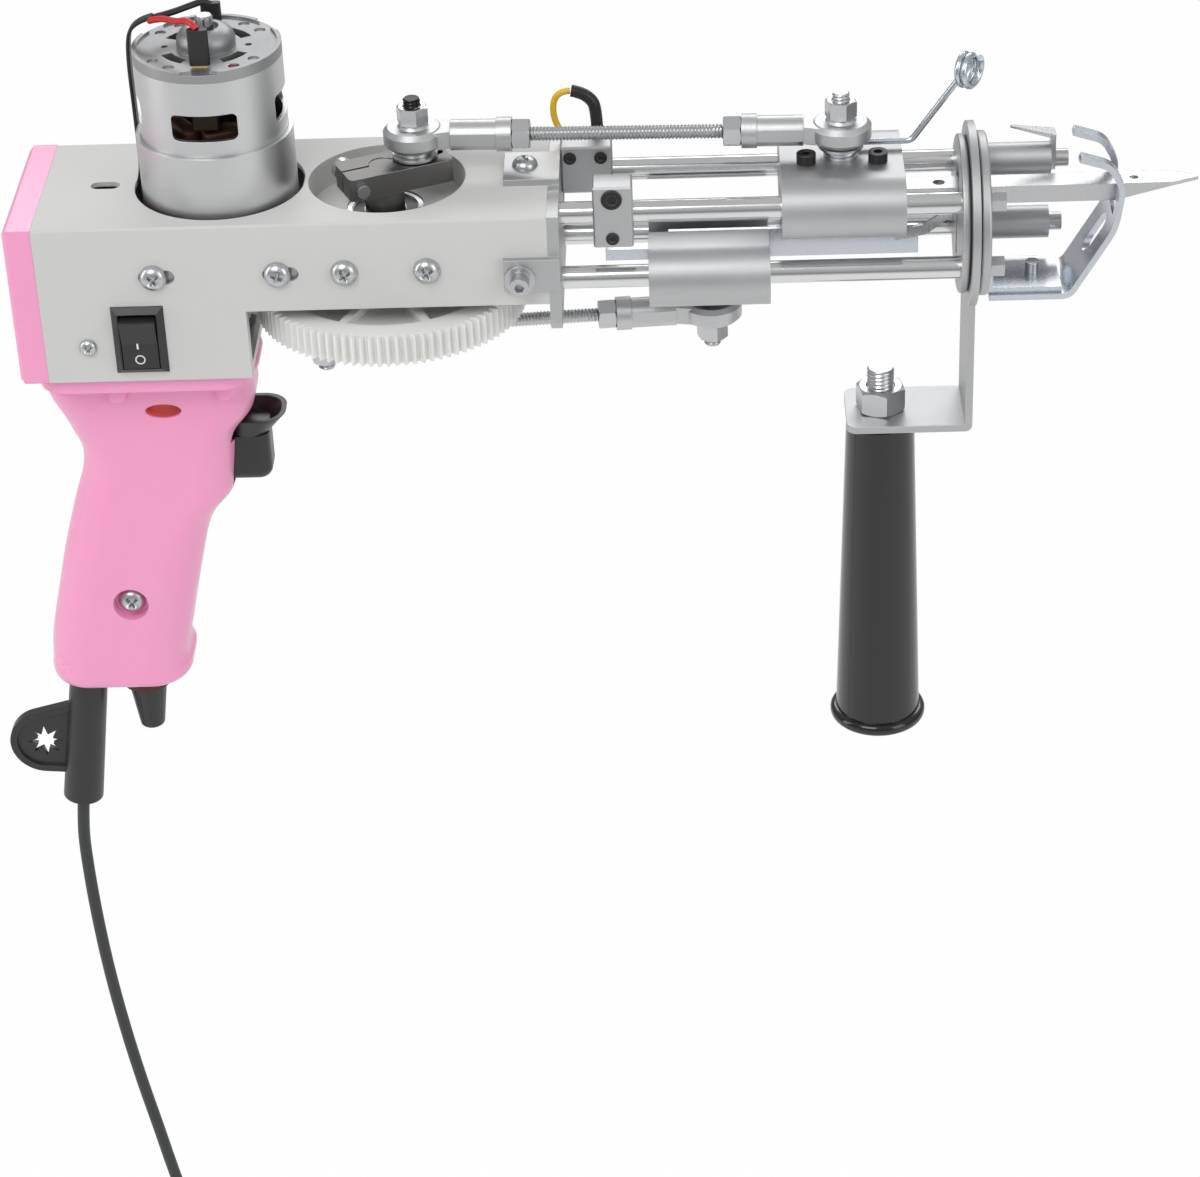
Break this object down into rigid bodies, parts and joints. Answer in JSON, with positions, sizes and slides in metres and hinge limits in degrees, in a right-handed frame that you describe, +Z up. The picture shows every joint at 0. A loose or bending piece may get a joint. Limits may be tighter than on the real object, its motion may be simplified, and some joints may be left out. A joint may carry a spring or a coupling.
{
  "type": "handheld tufting machine",
  "caption": "Handheld tufting machine: pistol grip with trigger, upright motor, gear and crank driving two rods, a long needle, cutter plate, presser foot and front handle.",
  "frame": {"origin": "middle of the pistol grip's palm, on the machine's centre plane", "axes": "+X along the needle towards its point, +Z up out of the grip along the motor shaft"},
  "size_m": [0.3629, 0.0784, 0.5219],
  "materials": {
    "housing_paint": "fine satin silver paint",
    "pink_plastic": "glossy moulded",
    "zinc_steel": "bright zinc plate",
    "satin_aluminium": "tumbled satin",
    "bearing_steel": "ground",
    "black_plastic": "satin moulded",
    "handle_plastic": "glossy moulded",
    "white_nylon": "moulded",
    "motor_steel": "zinc plated",
    "core_steel": "stacked sheet",
    "terminal_brass": "tinned",
    "dark_steel": "black oxide",
    "polished_rod": "ground and polished",
    "blue_zinc": "blue zinc plate",
    "blade_steel": "ground",
    "wire_insulation": "soft insulation",
    "gasket_rubber": "matte",
    "grey_plastic": "satin moulded",
    "knob_plastic": "satin moulded",
    "cord_jacket": "smooth jacket"
  },
  "bodies": {
    "frame": {"main_housing": "housing_paint", "rear_cap": "pink_plastic", "cross_head_screws": "zinc_steel", "mount_plate": "zinc_steel", "base_plate": "zinc_steel", "motor_block": "satin_aluminium", "bearing_block": "satin_aluminium", "crank_bearings": "bearing_steel", "switch_bezel": "black_plastic", "motor_can": "motor_steel", "motor_flux_ring": "motor_steel", "motor_end_cap": "motor_steel", "motor_terminals": "terminal_brass", "wire_leads": "wire_insulation", "head_plate": "satin_aluminium", "guide_rods": "polished_rod", "clamp_blocks": "satin_aluminium", "clamp_screws": "dark_steel", "front_plates": "satin_aluminium", "plate_gaskets": "gasket_rubber", "handle_bracket": "satin_aluminium", "front_handle": "handle_plastic", "handle_bolt": "zinc_steel", "standoffs": "satin_aluminium", "hook_blade": "blade_steel", "presser_bracket": "blue_zinc", "presser_foot": "blue_zinc", "frame_screws": "zinc_steel", "grip_front_half": "pink_plastic", "grip_back_half": "pink_plastic", "trigger_switch": "black_plastic", "speed_control": "black_plastic", "strain_relief": "grey_plastic", "power_cord": "cord_jacket", "cord_coil": "cord_jacket", "cord_tie": "black_plastic", "power_plug": "black_plastic"},
    "crank": {"crankshaft": "bearing_steel", "drive_gear": "white_nylon", "crank_arm": "dark_steel", "crank_pinch_bolt": "dark_steel"},
    "armature": {"motor_armature": "core_steel", "motor_pinion": "white_nylon"},
    "needle_carriage": {"upper_carriage": "satin_aluminium", "carriage_screws": "dark_steel", "needle": "blade_steel", "upper_carriage_stud": "zinc_steel", "yarn_guide_wire": "blue_zinc"},
    "upper_rod": {"upper_rod_ends": "zinc_steel", "upper_rod_bar": "zinc_steel"},
    "cutter_carriage": {"lower_carriage": "satin_aluminium", "cutter_plate": "blue_zinc", "scissor_fixed": "blade_steel", "lower_carriage_stud": "zinc_steel"},
    "lower_rod": {"lower_rod_ends": "zinc_steel", "lower_rod_bar": "zinc_steel"},
    "scissor_arm": {"scissor_moving": "blade_steel"},
    "trigger": {"trigger": "grey_plastic"},
    "rocker": {"switch_rocker": "black_plastic"},
    "knob": {"speed_knob": "knob_plastic"}
  },
  "joints": [
    {"name": "crank_spin", "type": "hinge", "parent": "frame", "child": "crank", "pos_m": [0.081, 0, 0.092], "axis": [0, 0, 1], "continuous": true},
    {"name": "armature_spin", "type": "hinge", "parent": "frame", "child": "armature", "pos_m": [0.0342, 0, 0.112], "axis": [0, 0, 1], "continuous": true},
    {"name": "needle_stroke", "type": "slide", "parent": "frame", "child": "needle_carriage", "axis": [1, 0, 0], "range_m": [-0.01907, 0.00093]},
    {"name": "upper_rod_swing", "type": "hinge", "parent": "needle_carriage", "child": "upper_rod", "pos_m": [0.2115, 0, 0.1232], "axis": [0, 0, 1], "range_deg": [-2.8, 6.64]},
    {"name": "cutter_stroke", "type": "slide", "parent": "frame", "child": "cutter_carriage", "axis": [1, 0, 0], "range_m": [-0.00152, 0.04148]},
    {"name": "lower_rod_swing", "type": "hinge", "parent": "cutter_carriage", "child": "lower_rod", "pos_m": [0.1741, 0, 0.0676], "axis": [0, 0, 1], "range_deg": [-15.4, 6.53]},
    {"name": "scissor_close", "type": "hinge", "parent": "cutter_carriage", "child": "scissor_arm", "pos_m": [0.24, 0, 0.0974], "axis": [0, 1, 0], "range_deg": [-0.2, 4.2]},
    {"name": "trigger_pull", "type": "slide", "parent": "frame", "child": "trigger", "axis": [-1, 0, 0], "range_m": [0, 0.006], "stiffness_N_per_m": 300, "springref_m": -0.001},
    {"name": "rocker_tip", "type": "hinge", "parent": "frame", "child": "rocker", "pos_m": [0.011, -0.0268, 0.0771], "axis": [1, 0, 0], "range_deg": [-16, 0]},
    {"name": "speed_turn", "type": "hinge", "parent": "frame", "child": "knob", "pos_m": [-0.0041, 0, -0.066], "axis": [0, 0, 1], "range_deg": [-135, 135]}
  ],
  "couplings": [
    {"joint": "armature_spin", "follows": "crank_spin", "ratio": -4.5714},
    {"joint": "scissor_close", "follows": "cutter_stroke", "rad_per_m": 1.7}
  ]
}
